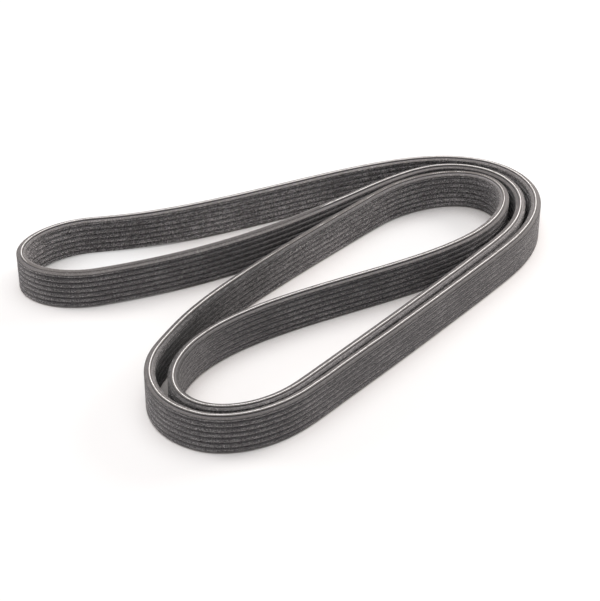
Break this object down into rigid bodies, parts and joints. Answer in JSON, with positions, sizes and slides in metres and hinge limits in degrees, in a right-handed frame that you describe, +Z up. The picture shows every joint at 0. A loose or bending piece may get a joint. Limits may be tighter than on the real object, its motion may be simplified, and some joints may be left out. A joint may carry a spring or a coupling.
{
  "type": "engine drive belt",
  "caption": "Endless rubber drive belt with V-ribs on both faces, standing on its edge and coiled loosely; it drives engine pulleys from both sides.",
  "frame": {"origin": "middle of the coiled belt's footprint, on the surface it stands on", "axes": "+Z up across the belt's width, +X to the right along the longest side of the footprint, +Y away from the viewer of the picture"},
  "size_m": [0.3222, 0.272, 0.0249],
  "materials": {
    "black_rubber": "matt, with fine fibres at the surface"
  },
  "bodies": {
    "root": {"ribbed_belt": "black_rubber"}
  },
  "joints": []
}
